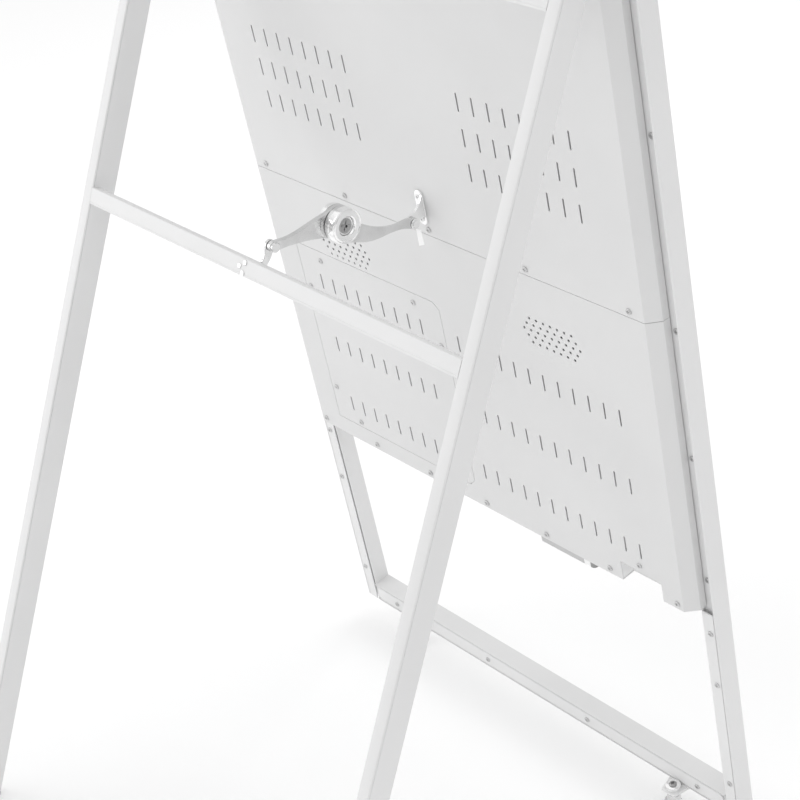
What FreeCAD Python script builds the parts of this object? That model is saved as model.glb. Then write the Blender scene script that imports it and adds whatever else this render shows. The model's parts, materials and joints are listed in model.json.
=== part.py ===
import FreeCAD, Part
import math
import os
import re

import Sketcher

# A digital sandwich board: a tall framed display that leans back, and a hinged rear
# frame that leans forward to meet it. A friction stay holds the two apart.
#
# World frame: +Z up, X across the board, the display faces -Y, origin on the floor
# at the middle of the footprint.
# Display frame: x across, y backwards from the flat back of the rear covers,
# z up along the display from the bottom edge of its frame.
# Rear frame: x across, y out of the back of the legs, z up along them from the hinge.

DIMENSIONS = [
    ("lean", 15.67, "angle of the display and of the rear frame from the vertical, degrees"),
    ("frame_width", 602, "front frame, outside width"),
    ("frame_length", 1320, "front frame, length along the display"),
    ("frame_front", 38.5, "front face of the frame, in front of the covers' back"),
    ("frame_back", 15.5, "back face of the frame, in front of the covers' back"),
    ("stile_face", 18, "width of a stile seen from behind"),
    ("wall", 1.6, "wall of the frame's profiles"),
    ("groove_floor", 21, "floor of the stile's rear groove, in front of the covers' back"),
    ("lip_back", 17.2, "recessed lip that carries a strip"),
    ("strip_thick", 1.5, "cover strips"),
    ("strip_top", 292, "upper end of the stile strips"),
    ("rail_face", 24.5, "height of the bottom rail"),
    ("top_face", 18, "height of the top rail"),
    ("glass_bottom", 298, "lower edge of the front glass"),
    ("glass_thick", 4, "front glass"),
    ("glass_inset", 0.5, "front glass behind the frame's face"),
    ("cover_bottom", 297.6, "lower edge of the lower cover"),
    ("cover_seam", 642, "joint between the two covers"),
    ("cover_top", 1301, "upper edge of the upper cover"),
    ("cover_flat", 552.8, "width of the covers' flat"),
    ("bevel", 11.6, "bevel along each side of the covers"),
    ("sheet", 1.2, "sheet metal"),
    ("cover_deep", 20, "reach of the covers' side flanges"),
    ("seam_gap", 0.6, "gap at seams and around the door"),
    ("slot_long", 19.5, "ventilation slot length"),
    ("slot_wide", 2, "ventilation slot width"),
    ("slot_pitch", 20, "ventilation slots, side to side"),
    ("slot_top", 516.2, "first slot row of the lower cover"),
    ("slot_rise", 82.7, "slot rows of the lower cover"),
    ("vent_top", 809.5, "first slot row of the upper cover"),
    ("vent_rise", 36.8, "slot rows of the upper cover"),
    ("grille_x", 150, "speaker grille from the middle"),
    ("grille_z", 577, "speaker grille height"),
    ("grille_step", 9.2, "grille holes along a row"),
    ("grille_rise", 7, "grille rows"),
    ("grille_hole", 3.2, "grille hole diameter"),
    ("door_near", 14, "access door, edge nearest the middle"),
    ("door_far", 240, "access door, outer edge"),
    ("door_low", 321, "access door, lower edge"),
    ("door_high", 557, "access door, upper edge"),
    ("door_cut", 8, "access door, corner chamfer"),
    ("inlet_x", 223, "middle of the mains inlet notch"),
    ("inlet_wide", 54, "inlet notch width"),
    ("inlet_high", 322.6, "top of the inlet notch"),
    ("inlet_deep", 20, "inlet recess depth"),
    ("pivot_z", 989.6, "rear frame hinge along the display"),
    ("pivot_y", 19.2, "rear frame hinge behind the covers"),
    ("pin_radius", 4, "hinge pin radius"),
    ("fit", 0.05, "radial clearance of running fits"),
    ("leg_x", 274.8, "middle of a rear leg"),
    ("leg_wide", 13.5, "rear leg tube, across"),
    ("leg_deep", 28, "rear leg tube, front to back"),
    ("leg_wall", 1.5, "rear leg tube wall"),
    ("leg_rise", 8, "rear leg above the hinge"),
    ("boot_long", 9, "rear foot below the tube"),
    ("cap_thick", 1.5, "rear leg top cap"),
    ("bar_drop", 322, "hinge to the top of the crossbar"),
    ("bar_face", 16.6, "crossbar height"),
    ("bar_deep", 10, "crossbar depth"),
    ("top_bar_drop", 22, "hinge to the top of the rear frame's top bar"),
    ("stay_z", 670, "stay pivot on the cover, along the display"),
    ("stay_y", 21, "stay pivot on the cover, behind it"),
    ("upper_arm", 93.5, "stay, cover pivot to hub"),
    ("lower_arm", 75, "stay, hub to crossbar pivot"),
    ("tail_drop", 305, "stay pivot on the rear frame, below the hinge"),
    ("tail_front", 1, "stay pivot on the rear frame, in front of the leg's middle"),
    ("hub_radius", 17.5, "stay hub"),
    ("arm_thick", 5, "stay arms"),
    ("foot_x", 216, "levelling foot from the middle"),
    ("foot_y", 6.6, "levelling foot in front of the covers' back"),
    ("stud_radius", 4, "levelling foot stud"),
    ("ball_drop", 9, "levelling foot's ball below the rail"),
    ("pad_radius", 10, "levelling foot pad radius"),
    ("pad_high", 14.8, "levelling foot pad, ball to floor"),
    ("head_radius", 3.2, "cover screw head"),
    ("screw_radius", 1.5, "cover screw shank"),
    ("ball_radius", 5, "levelling foot ball"),
    ("nut_radius", 8.6, "levelling foot's welded nut"),
    ("nut_high", 4.6, "welded nut, above the rail's lower face"),
    ("plate_thick", 3, "foot bracket plate, under the rail"),
    ("stud_proud", 2, "levelling foot stud above its nut"),
    ("strip_margin", 2, "bottom rail strip, gap to the rail's ends and edges"),
    ("panel_half", 272, "half the width of the display panel"),
    ("panel_margin", 22, "display panel above the glass's lower edge"),
    ("panel_thick", 2.2, "display panel"),
    ("tray_thick", 9, "backlight tray"),
    ("chassis_half", 281, "half the width of the chassis plate"),
    ("chassis_thick", 1.5, "chassis plate"),
    ("support_wide", 12, "support bars behind the covers, height"),
    ("support_deep", 7, "support bars behind the covers, depth"),
    ("sill_high", 16, "sill under the glass"),
    ("sill_deep", 10, "sill under the glass, front to back"),
    ("sill_wall", 1.5, "sill wall"),
    ("port_near", 77, "port block, end nearest the middle"),
    ("port_far", 156, "port block, outer end"),
    ("port_deep", 8.8, "port block, front to back"),
    ("port_high", 7, "port block below the cover"),
    ("bar_wall", 1.2, "crossbar and top bar wall"),
    ("rivet_radius", 1.6, "crossbar rivet hole"),
    ("arm_root", 9.5, "stay arm, half its width at the hub"),
    ("arm_tip", 4.2, "stay arm, half its width at the far pivot"),
    ("arm_end", 5.4, "stay arm, radius of its far end"),
    ("small_bore", 3.05, "stay arm, far pivot hole radius"),
    ("hub_bore", 5.05, "stay hub bore radius"),
    ("small_pin", 3, "stay pins' radius"),
    ("spindle_radius", 5, "stay hub spindle"),
]

X_AXIS = FreeCAD.Vector(1, 0, 0)
Y_AXIS = FreeCAD.Vector(0, 1, 0)
Z_AXIS = FreeCAD.Vector(0, 0, 1)
SIDES = (("left", -1), ("right", 1))

# Places of the fasteners: heights, widths or both, as numbers or in the sheet's names.
STRIP_SCREWS = [50, 195, 266]
CHANNEL_SCREWS = [333, 484, 628, 825, 1040, 1240]
RAIL_SCREWS = [-244, -81, 81, 244]
SEAM_SCREWS = [-259, -129.5, 3, 129.5, 259]
EDGE_SCREWS = [-269, -179.3, -89.7, 0, 89.7, 179.3, 269]
SEAM_SCREW_Z = "cover_seam + 7"
EDGE_SCREW_Z = "cover_bottom + 7.1"
STAY_SCREWS = [(6.1, "stay_z - 8"), (6.1, "stay_z + 17")]
HINGE_SCREWS = [(side * 236, f"pivot_z + {rise}") for name, side in SIDES for rise in (-16, 16)]
DOOR_SCREWS = [
    ("door_near + 8", "door_high - 54"), ("door_far - 8", "door_high - 54"),
    ("door_near + 40", "door_high - 12"), ("door_far - 38", "door_high - 12"),
    ("door_far - 8", "door_low + 44"), ("door_far - 40", "door_low + 7"),
    ("door_near + 8", "door_low + 44"), ("door_near + 40", "door_low + 7"),
]
RIVETS = [(18, "-bar_drop - 3.5"), (25, "-bar_drop - 8.3"), (19, "-bar_drop - 13.6")]

doc = FreeCAD.newDocument("sandwich_board")
sheet = doc.addObject("Spreadsheet::Sheet", "dims")
for line, (alias, size, meaning) in enumerate(DIMENSIONS, start=1):
    sheet.set(f"A{line}", alias)
    sheet.set(f"B{line}", str(size))
    sheet.setAlias(f"B{line}", alias)
    sheet.set(f"C{line}", meaning)
doc.recompute()
parts = []


# ---------------------------------------------------------------- modelling helpers
def value(text):
    """The number that an expression in the sheet's names comes to."""
    return float(sheet.evalExpression(str(text)))


def bound(text):
    """The same expression as another object has to write it."""
    return re.sub(r"\b[a-z]\w*", r"dims.\g<0>", str(text))


def spot(x, y, z):
    return FreeCAD.Vector(value(x), value(y), value(z))


def keep(shape_object, label, frame):
    """Name a sub-part, put it in its frame and list it for export."""
    shape_object.Label = label
    shape_object.Placement = frame
    parts.append(shape_object)
    return shape_object


def new_body(label, frame):
    return keep(doc.addObject("PartDesign::Body", label), label, frame)


def new_sketch(body, plane, offset=0):
    """A sketch on one of the body's own origin planes, moved along its normal."""
    sketch = body.newObject("Sketcher::SketchObject", body.Name + "_sketch")
    support = [item for item in body.Origin.OriginFeatures if item.Role == plane]
    sketch.AttachmentSupport = [(support[0], "")]
    sketch.MapMode = "FlatFace"
    sketch.setExpression("AttachmentOffset.Base.z", bound(offset))
    return sketch


def pin_point(sketch, item, end, x, y):
    """Hold one point of a sketch at two expressions."""
    across = Sketcher.Constraint("DistanceX", -1, 1, item, end, value(x))
    up = Sketcher.Constraint("DistanceY", -1, 1, item, end, value(y))
    for constraint, text in ((across, x), (up, y)):
        index = sketch.addConstraint(constraint)
        sketch.setExpression(f"Constraints[{index}]", bound(text))


def polygon(sketch, corners):
    first = sketch.GeometryCount
    ends = [FreeCAD.Vector(value(x), value(y), 0) for x, y in corners]
    count = len(corners)
    for index in range(count):
        sketch.addGeometry(Part.LineSegment(ends[index], ends[(index + 1) % count]))
    for index in range(count):
        following = first + (index + 1) % count
        sketch.addConstraint(Sketcher.Constraint("Coincident", first + index, 2, following, 1))
    for index, (x, y) in enumerate(corners):
        pin_point(sketch, first + index, 1, x, y)


def rectangle(sketch, x0, y0, x1, y1):
    polygon(sketch, [(x0, y0), (x1, y0), (x1, y1), (x0, y1)])


def circle(sketch, x, y, radius):
    centre = FreeCAD.Vector(value(x), value(y), 0)
    item = sketch.addGeometry(Part.Circle(centre, Z_AXIS, value(radius)))
    pin_point(sketch, item, 3, x, y)
    index = sketch.addConstraint(Sketcher.Constraint("Radius", item, value(radius)))
    sketch.setExpression(f"Constraints[{index}]", bound(radius))


def stadium(sketch, x, y, length, width):
    """An upright slot with round ends."""
    radius = value(width) / 2
    half = value(length) / 2 - radius
    middle = FreeCAD.Vector(value(x), value(y), 0)
    top = middle + FreeCAD.Vector(0, half, 0)
    bottom = middle - FreeCAD.Vector(0, half, 0)
    side = FreeCAD.Vector(radius, 0, 0)
    upper = Part.ArcOfCircle(Part.Circle(top, Z_AXIS, radius), 0, math.pi)
    lower = Part.ArcOfCircle(Part.Circle(bottom, Z_AXIS, radius), math.pi, 2 * math.pi)
    first = sketch.addGeometry(upper)
    sketch.addGeometry(Part.LineSegment(top - side, bottom - side))
    sketch.addGeometry(lower)
    sketch.addGeometry(Part.LineSegment(bottom + side, top + side))
    for index in range(4):
        following = first + (index + 1) % 4
        sketch.addConstraint(Sketcher.Constraint("Tangent", first + index, 2, following, 1))
    half_text = f"({length} - {width}) / 2"
    pin_point(sketch, first, 3, x, f"{y} + {half_text}")
    pin_point(sketch, first + 2, 3, x, f"{y} - {half_text}")
    index = sketch.addConstraint(Sketcher.Constraint("Radius", first, radius))
    sketch.setExpression(f"Constraints[{index}]", bound(f"({width}) / 2"))


def pad(body, sketch, length, side="One side", back=False):
    feature = body.newObject("PartDesign::Pad", body.Name + "_pad")
    feature.Profile = sketch
    feature.SideType = side
    feature.Reversed = back
    feature.setExpression("Length", bound(length))
    return feature


def cut_through(body, sketch):
    """Cut a sketch right through the body both ways, and prove that it cut."""
    doc.recompute()
    before = body.Shape.Volume
    feature = body.newObject("PartDesign::Pocket", body.Name + "_cut")
    feature.Profile = sketch
    feature.Type = "ThroughAll"
    feature.SideType = "Symmetric"
    doc.recompute()
    if body.Shape.Volume >= before:
        raise RuntimeError(body.Label + ": a cut removed nothing")
    return feature


def cut_down(body, sketch, length, back=False):
    """Cut a sketch to a depth, and prove that it cut."""
    doc.recompute()
    before = body.Shape.Volume
    feature = body.newObject("PartDesign::Pocket", body.Name + "_cut")
    feature.Profile = sketch
    feature.Reversed = back
    feature.setExpression("Length", bound(length))
    doc.recompute()
    if body.Shape.Volume >= before:
        raise RuntimeError(body.Label + ": a cut removed nothing")
    return feature


def grid(body, feature, sketch, columns, column_step, rows, row_step):
    """Repeat a cut to the right and downwards."""
    steps = []
    for axis, count, step in (("H_Axis", columns, column_step), ("V_Axis", rows, row_step)):
        pattern = body.newObject("PartDesign::LinearPattern", body.Name + "_step")
        pattern.Direction = (sketch, [axis])
        pattern.Reversed = axis == "V_Axis"
        pattern.setExpression("Length", bound(f"{count - 1} * {step}"))
        pattern.Occurrences = count
        steps.append(pattern)
    both = body.newObject("PartDesign::MultiTransform", body.Name + "_grid")
    both.Originals = [feature]
    both.Transformations = steps
    body.Tip = both
    doc.recompute()


def row_of_holes(body, plane, holes, radius):
    """Cut a few round holes through the body, at expressions in the sketch plane."""
    sketch = new_sketch(body, plane)
    for x, y in holes:
        circle(sketch, x, y, radius)
    return cut_through(body, sketch)


def shallow_holes(body, holes, radius):
    """Round holes through the back wall of a hollow profile only."""
    sketch = new_sketch(body, "XZ_Plane")
    for x, z in holes:
        circle(sketch, x, z, radius)
    return cut_down(body, sketch, "frame_front - 6", back=True)


def rounded(body, radius, chosen):
    """Fillet the edges of a body that a test picks."""
    base = body.Tip
    names = [f"Edge{index}" for index, edge in enumerate(base.Shape.Edges, start=1) if chosen(edge)]
    fillet = body.newObject("PartDesign::Fillet", body.Name + "_rounding")
    fillet.Base = (base, names)
    fillet.Radius = radius
    doc.recompute()


def ball(radius, centre):
    item = doc.addObject("Part::Sphere", "ball")
    item.setExpression("Radius", bound(radius))
    for name, text in zip("xyz", centre):
        item.setExpression("Placement.Base." + name, bound(text))
    return item


def block(size, corner):
    """A box primitive whose sizes and corner follow the sheet."""
    item = doc.addObject("Part::Box", "block")
    for name, text in zip(("Length", "Width", "Height"), size):
        item.setExpression(name, bound(text))
    for name, text in zip("xyz", corner):
        item.setExpression("Placement.Base." + name, bound(text))
    return item


def drum(radius, height, centre, axis=X_AXIS):
    """A cylinder primitive that starts at a point and runs along an axis."""
    item = doc.addObject("Part::Cylinder", "drum")
    item.setExpression("Radius", bound(radius))
    item.setExpression("Height", bound(height))
    item.Placement.Rotation = FreeCAD.Rotation(Z_AXIS, axis)
    for name, text in zip("xyz", centre):
        item.setExpression("Placement.Base." + name, bound(text))
    return item


def joined(label, pieces, frame):
    item = doc.addObject("Part::MultiFuse", label)
    item.Shapes = pieces
    item.Refine = True
    return keep(item, label, frame)


def hollowed(label, solid, pieces, frame):
    """One solid with others cut out of it."""
    tool = pieces[0]
    if len(pieces) > 1:
        tool = doc.addObject("Part::MultiFuse", label + "_tools")
        tool.Shapes = pieces
    item = doc.addObject("Part::Cut", label)
    item.Base = solid
    item.Tool = tool
    return keep(item, label, frame)


def merged(solids):
    item = doc.addObject("Part::MultiFuse", "merged")
    item.Shapes = solids
    item.Refine = True
    return item


def tilted(origin, degrees):
    """A frame at a point, turned about the board's width."""
    return FreeCAD.Placement(origin, FreeCAD.Rotation(X_AXIS, degrees))


# ------------------------------------------------------------------ the three frames
lean = math.radians(value("lean"))
ball_y = -value("foot_y")
ball_z = -value("ball_drop")
floor_z = ball_z * math.cos(lean) - ball_y * math.sin(lean) - value("pad_high")
pivot_local = spot(0, "pivot_y", "pivot_z")
pivot_rise = pivot_local.z * math.cos(lean) - pivot_local.y * math.sin(lean) - floor_z
pivot_run = pivot_local.y * math.cos(lean) + pivot_local.z * math.sin(lean)
heel = pivot_run + pivot_rise * math.tan(lean) + value("leg_deep") / 2 / math.cos(lean)
toe = -value("frame_front") * math.cos(lean)
DISPLAY = tilted(FreeCAD.Vector(0, -(heel + toe) / 2, -floor_z), -value("lean"))
pivot = DISPLAY.multVec(pivot_local)
REAR = tilted(pivot, value("lean"))


# ---------------------------------------------------------------------- front frame
def stile(name, side):
    """Upright profile: a closed tube with a groove along its back."""
    inner = f"{side} * (frame_width / 2 - stile_face)"
    inner_wall = f"{side} * (frame_width / 2 - stile_face + wall)"
    outer_wall = f"{side} * (frame_width / 2 - wall)"
    outer = f"{side} * frame_width / 2"
    body = new_body("stile_" + name, DISPLAY)
    sketch = new_sketch(body, "XY_Plane")
    polygon(sketch, [
        (inner, "-frame_front"), (outer, "-frame_front"),
        (outer, "-frame_back"), (outer_wall, "-frame_back"),
        (outer_wall, "-groove_floor"), (inner_wall, "-groove_floor"),
        (inner_wall, "-lip_back"), (inner, "-lip_back"),
    ])
    rectangle(sketch, inner_wall, "-frame_front + wall", outer_wall, "-groove_floor - wall")
    pad(body, sketch, "frame_length")
    holes = [(strip_screw_x(side), z) for z in STRIP_SCREWS + CHANNEL_SCREWS]
    shallow_holes(body, holes, "screw_radius + 0.1")


def strip_screw_x(side):
    return f"{side} * (frame_width / 2 - 7.5)"


def rail(label, low, face, recess):
    """Cross profile between the stiles, with a shallow recess in its back if asked."""
    body = new_body(label, DISPLAY)
    sketch = new_sketch(body, "YZ_Plane", "-(frame_width / 2 - stile_face)")
    high = f"{low} + {face}"
    if recess:
        polygon(sketch, [
            ("-frame_front", low), ("-frame_front", high), ("-frame_back", high),
            ("-frame_back", f"{high} - 1.8"), ("-lip_back", f"{high} - 1.8"),
            ("-lip_back", f"{low} + 1.8"), ("-frame_back", f"{low} + 1.8"),
            ("-frame_back", low),
        ])
        back = "-lip_back - wall"
    else:
        rectangle(sketch, "-frame_front", low, "-frame_back", high)
        back = "-frame_back - wall"
    rectangle(sketch, "-frame_front + wall", f"{low} + wall", back, f"{high} - wall")
    pad(body, sketch, "frame_width - 2 * stile_face")
    return body


def stile_strip(name, side):
    """Screwed strip that closes a stile's groove below the display."""
    near = f"{side} * (frame_width / 2 - stile_face)"
    far = f"{side} * (frame_width / 2 - wall - 0.2)"
    body = new_body("stile_strip_" + name, DISPLAY)
    sketch = new_sketch(body, "XZ_Plane", "frame_back")
    rectangle(sketch, near, 0, far, "strip_top")
    pad(body, sketch, "strip_thick")
    holes = [(strip_screw_x(side), z) for z in STRIP_SCREWS]
    row_of_holes(body, "XZ_Plane", holes, "screw_radius + 0.1")


def rail_strip():
    """Screwed strip let into the back of the bottom rail, with rounded corners."""
    body = new_body("bottom_rail_strip", DISPLAY)
    sketch = new_sketch(body, "XZ_Plane", "frame_back")
    half = "(frame_width / 2 - stile_face - strip_margin)"
    rectangle(sketch, f"-{half}", "strip_margin", half, "rail_face - strip_margin")
    pad(body, sketch, "strip_thick")
    row_of_holes(body, "XZ_Plane", [(x, "rail_face / 2") for x in RAIL_SCREWS], "screw_radius + 0.1")
    rounded(body, 6, lambda edge: is_corner(edge, value(half)))


def is_corner(edge, end):
    """An edge that runs straight back at a given distance from the middle."""
    box = edge.BoundBox
    return box.XLength < 0.01 and box.ZLength < 0.01 and abs(abs(box.XMin) - end) < 0.01


def front_frame():
    for name, side in SIDES:
        stile(name, side)
        stile_strip(name, side)
    bottom = rail("bottom_rail", 0, "rail_face", True)
    shallow_holes(bottom, [(x, "rail_face / 2") for x in RAIL_SCREWS], "screw_radius + 0.1")
    rail("top_rail", "frame_length - top_face", "top_face", False)
    rail_strip()
    span = "frame_width - 2 * stile_face"
    low = "glass_bottom - sill_high"
    sill = block((span, "sill_deep", "sill_high"), (f"-({span}) / 2", "-frame_front", low))
    bore = block((span, "sill_deep - 2 * sill_wall", "sill_high - 2 * sill_wall"),
                 (f"-({span}) / 2", "-frame_front + sill_wall", f"{low} + sill_wall"))
    hollowed("display_sill", sill, [bore], DISPLAY)


# ------------------------------------------------------------------- display module
def display_stack():
    inside = "frame_width / 2 - stile_face - 0.4"
    top = "frame_length - top_face - 0.4"
    front = "frame_front - glass_inset"
    body = new_body("front_glass", DISPLAY)
    sketch = new_sketch(body, "XZ_Plane", f"{front} - glass_thick")
    rectangle(sketch, f"-({inside})", "glass_bottom", inside, top)
    pad(body, sketch, "glass_thick")
    body = new_body("lcd_panel", DISPLAY)
    sketch = new_sketch(body, "XZ_Plane", f"{front} - glass_thick - panel_thick - 0.5")
    rectangle(sketch, "-panel_half", "glass_bottom + panel_margin", "panel_half", f"{top} - 20")
    pad(body, sketch, "panel_thick")
    body = new_body("backlight_tray", DISPLAY)
    sketch = new_sketch(body, "XZ_Plane", "cover_deep + 2")
    rectangle(sketch, "-panel_half - 2", "glass_bottom + panel_margin - 2", "panel_half + 2", f"{top} - 18")
    pad(body, sketch, "tray_thick")
    sketch = new_sketch(body, "XZ_Plane", "cover_deep + 2 + sheet")
    rectangle(sketch, "-panel_half", "glass_bottom + panel_margin", "panel_half", f"{top} - 20")
    cut_down(body, sketch, "tray_thick + 3", back=True)
    body = new_body("display_chassis", DISPLAY)
    sketch = new_sketch(body, "XZ_Plane", "cover_deep + 0.4")
    rectangle(sketch, "-chassis_half", "glass_bottom + 28", "chassis_half", f"{top} - 4")
    pad(body, sketch, "chassis_thick")


# ---------------------------------------------------------------------- rear covers
def cover_outline(sketch):
    """Section across a cover: flat back, a bevel each side, then a flange forward."""
    flat = "cover_flat / 2"
    edge = "cover_flat / 2 + bevel"
    corner = "sheet * 0.414"
    polygon(sketch, [
        (f"-({edge})", "-cover_deep"), (f"-({edge})", "-bevel"), (f"-{flat}", 0),
        (flat, 0), (edge, "-bevel"), (edge, "-cover_deep"),
        (f"{edge} - sheet", "-cover_deep"), (f"{edge} - sheet", f"-bevel - {corner}"),
        (f"{flat} - {corner}", "-sheet"), (f"-({flat} - {corner})", "-sheet"),
        (f"-({edge} - sheet)", f"-bevel - {corner}"), (f"-({edge} - sheet)", "-cover_deep"),
    ])


def cover_end(body, z, up):
    """End wall that closes a cover, between its flanges."""
    flat = "cover_flat / 2"
    edge = "cover_flat / 2 + bevel"
    sketch = new_sketch(body, "XY_Plane", z)
    polygon(sketch, [
        (f"-({edge})", "-lip_back + 0.2"), (f"-({edge})", "-bevel"), (f"-{flat}", 0),
        (flat, 0), (edge, "-bevel"), (edge, "-lip_back + 0.2"),
    ])
    pad(body, sketch, "sheet", back=not up)


def vent_grid(body, x, z, columns, row_step):
    """Three rows of ventilation slots, starting at the upper left."""
    sketch = new_sketch(body, "XZ_Plane")
    stadium(sketch, x, z, "slot_long", "slot_wide")
    feature = cut_through(body, sketch)
    grid(body, feature, sketch, columns, "slot_pitch", 3, row_step)


def upper_cover():
    body = new_body("upper_rear_cover", DISPLAY)
    sketch = new_sketch(body, "XY_Plane", "cover_seam + seam_gap / 2")
    cover_outline(sketch)
    pad(body, sketch, "cover_top - cover_seam - seam_gap / 2")
    cover_end(body, "cover_top", False)
    vent_grid(body, 82, "vent_top", 8, "vent_rise")
    vent_grid(body, -216, "vent_top", 8, "vent_rise")
    holes = [(x, SEAM_SCREW_Z) for x in SEAM_SCREWS] + STAY_SCREWS + HINGE_SCREWS
    row_of_holes(body, "XZ_Plane", holes, "screw_radius + 0.1")


def lower_cover():
    body = new_body("lower_rear_cover", DISPLAY)
    sketch = new_sketch(body, "XY_Plane", "cover_bottom")
    cover_outline(sketch)
    pad(body, sketch, "cover_seam - seam_gap / 2 - cover_bottom")
    cover_end(body, "cover_bottom", True)
    sketch = new_sketch(body, "XZ_Plane")
    middle = "-inlet_x"
    half = "inlet_wide / 2"
    rectangle(sketch, f"{middle} - {half}", "cover_bottom - 1", f"{middle} + {half}", "inlet_high")
    cut_through(body, sketch)
    sketch = new_sketch(body, "XZ_Plane")
    door_outline(sketch, "seam_gap")
    cut_through(body, sketch)
    vent_grid(body, -227, "slot_top", 12, "slot_rise")
    holes = [(x, EDGE_SCREW_Z) for x in EDGE_SCREWS] + [("-inlet_x", "inlet_high + 8")]
    row_of_holes(body, "XZ_Plane", holes, "screw_radius + 0.1")
    for side in (-1, 1):
        for row, count in enumerate((7, 8, 9, 8, 7)):
            sketch = new_sketch(body, "XZ_Plane")
            start = f"{side} * grille_x - {(count - 1) / 2} * grille_step"
            circle(sketch, start, f"grille_z + {2 - row} * grille_rise", "grille_hole / 2")
            hole = cut_through(body, sketch)
            line_of(body, hole, sketch, count, "grille_step")


def line_of(body, feature, sketch, count, step):
    """Repeat a cut along the sketch's own width."""
    pattern = body.newObject("PartDesign::LinearPattern", body.Name + "_line")
    pattern.Originals = [feature]
    pattern.Direction = (sketch, ["H_Axis"])
    pattern.setExpression("Length", bound(f"{count - 1} * {step}"))
    pattern.Occurrences = count
    body.Tip = pattern
    doc.recompute()


def door_outline(sketch, grow):
    """The door's edge, its upper inner corner cut off, grown all round by a gap."""
    near = f"door_near - {grow}"
    far = f"door_far + {grow}"
    low = f"door_low - {grow}"
    high = f"door_high + {grow}"
    polygon(sketch, [
        (f"{near} + door_cut", low), (far, low), (far, high),
        (f"{near} + door_cut", high), (near, f"{high} - door_cut"), (near, f"{low} + door_cut"),
    ])


def access_door():
    body = new_body("access_door", DISPLAY)
    sketch = new_sketch(body, "XZ_Plane")
    door_outline(sketch, "0")
    pad(body, sketch, "sheet")
    vent_grid(body, 49, "slot_top", 9, "slot_rise")
    row_of_holes(body, "XZ_Plane", DOOR_SCREWS, "screw_radius + 0.1")
    ring = new_body("door_frame", DISPLAY)
    sketch = new_sketch(ring, "XZ_Plane", "sheet")
    rectangle(sketch, "door_near - 12", "door_low - 6", "door_far + 12", "door_high + 8")
    rectangle(sketch, "door_near + 16", "door_low + 20", "door_far - 16", "door_high - 20")
    pad(ring, sketch, "sheet")
    row_of_holes(ring, "XZ_Plane", DOOR_SCREWS, "screw_radius + 0.1")


def cover_rails():
    """Bars behind the covers that take their screws."""
    for label, low, screws, z in (
        ("seam_support_bar", "cover_seam + 2", SEAM_SCREWS, SEAM_SCREW_Z),
        ("edge_support_bar", "cover_bottom + 1.6", EDGE_SCREWS, EDGE_SCREW_Z),
    ):
        body = new_body(label, DISPLAY)
        sketch = new_sketch(body, "XZ_Plane", "sheet")
        rectangle(sketch, "-cover_flat / 2", low, "cover_flat / 2", f"{low} + support_wide")
        pad(body, sketch, "support_deep")
        if label == "edge_support_bar":
            gap = new_sketch(body, "XZ_Plane")
            left = "-inlet_x - inlet_wide / 2 - 3"
            rectangle(gap, left, "cover_bottom", "-inlet_x + inlet_wide / 2 + 3", "inlet_high")
            cut_through(body, gap)
        row_of_holes(body, "XZ_Plane", [(x, z) for x in screws], "screw_radius + 0.1")


# ---------------------------------------------------------------------- electronics
def electronics():
    left = "-inlet_x - inlet_wide / 2"
    shell = block(("inlet_wide + 3", "inlet_deep + 0.1", "inlet_high - glass_bottom + 1.5"),
                  (f"{left} - 1.5", "-inlet_deep - 1.4", "glass_bottom + 1.3"))
    void = block(("inlet_wide", "inlet_deep + 5", "inlet_high - glass_bottom + 1"),
                 (left, "-inlet_deep + 0.1", "glass_bottom - 1"))
    opening = block((27, 15, 10), ("-inlet_x - 13.5", "-inlet_deep + 2", "inlet_high - 2"))
    hollowed("inlet_bracket", shell, [void, opening], DISPLAY)
    flange = block((34, 16, 2), ("-inlet_x - 17", "-inlet_deep + 1.2", "inlet_high - 2.2"))
    barrel = block((26.6, 14.6, 22), ("-inlet_x - 13.3", "-inlet_deep + 2.2", "inlet_high - 0.4"))
    mouth = block((22, 10, 16), ("-inlet_x - 11", "-inlet_deep + 4.5", "inlet_high - 3"))
    hollowed("power_inlet", merged([flange, barrel]), [mouth], DISPLAY)
    port = new_body("port_block", DISPLAY)
    sketch = new_sketch(port, "XY_Plane", "cover_bottom")
    rectangle(sketch, "-port_far", "-port_deep", "-port_near", 0)
    pad(port, sketch, "port_high", back=True)
    doc.recompute()
    rounded(port, 4.3, lambda edge: edge.BoundBox.XLength < 0.01 and edge.BoundBox.YLength < 0.01)
    for name, side in SIDES:
        case = block((96, 13, 44), (f"{side} * grille_x - 48", "-cover_deep + 3.4", "grille_z - 22"))
        cone = drum(11, 1.6, (f"{side} * grille_x", "-cover_deep + 16.3", "grille_z"), Y_AXIS)
        joined("speaker_" + name, [case, cone], DISPLAY)
    board = block((150, 1.6, 110), (50, "-cover_deep + 6", 380))
    chip = block((46, 9, 46), (100, "-cover_deep + 7.4", 415))
    sockets = [block((18, 7, 14), (60 + 24 * item, "-cover_deep + 7.4", 380)) for item in range(5)]
    joined("media_player_board", [board, chip] + sockets, DISPLAY)
    case = block((90, 15, 150), (-230, "-cover_deep + 2", 350))
    lid = block((94, 1.2, 154), (-232, "-cover_deep + 16.9", 348))
    joined("power_supply", [case, lid], DISPLAY)
    board = block((220, 1.6, 40), (-110, "-cover_deep + 4", 1010))
    plug = block((60, 5, 8), (-30, "-cover_deep + 5.4", 1036))
    joined("panel_driver_board", [board, plug], DISPLAY)


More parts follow.
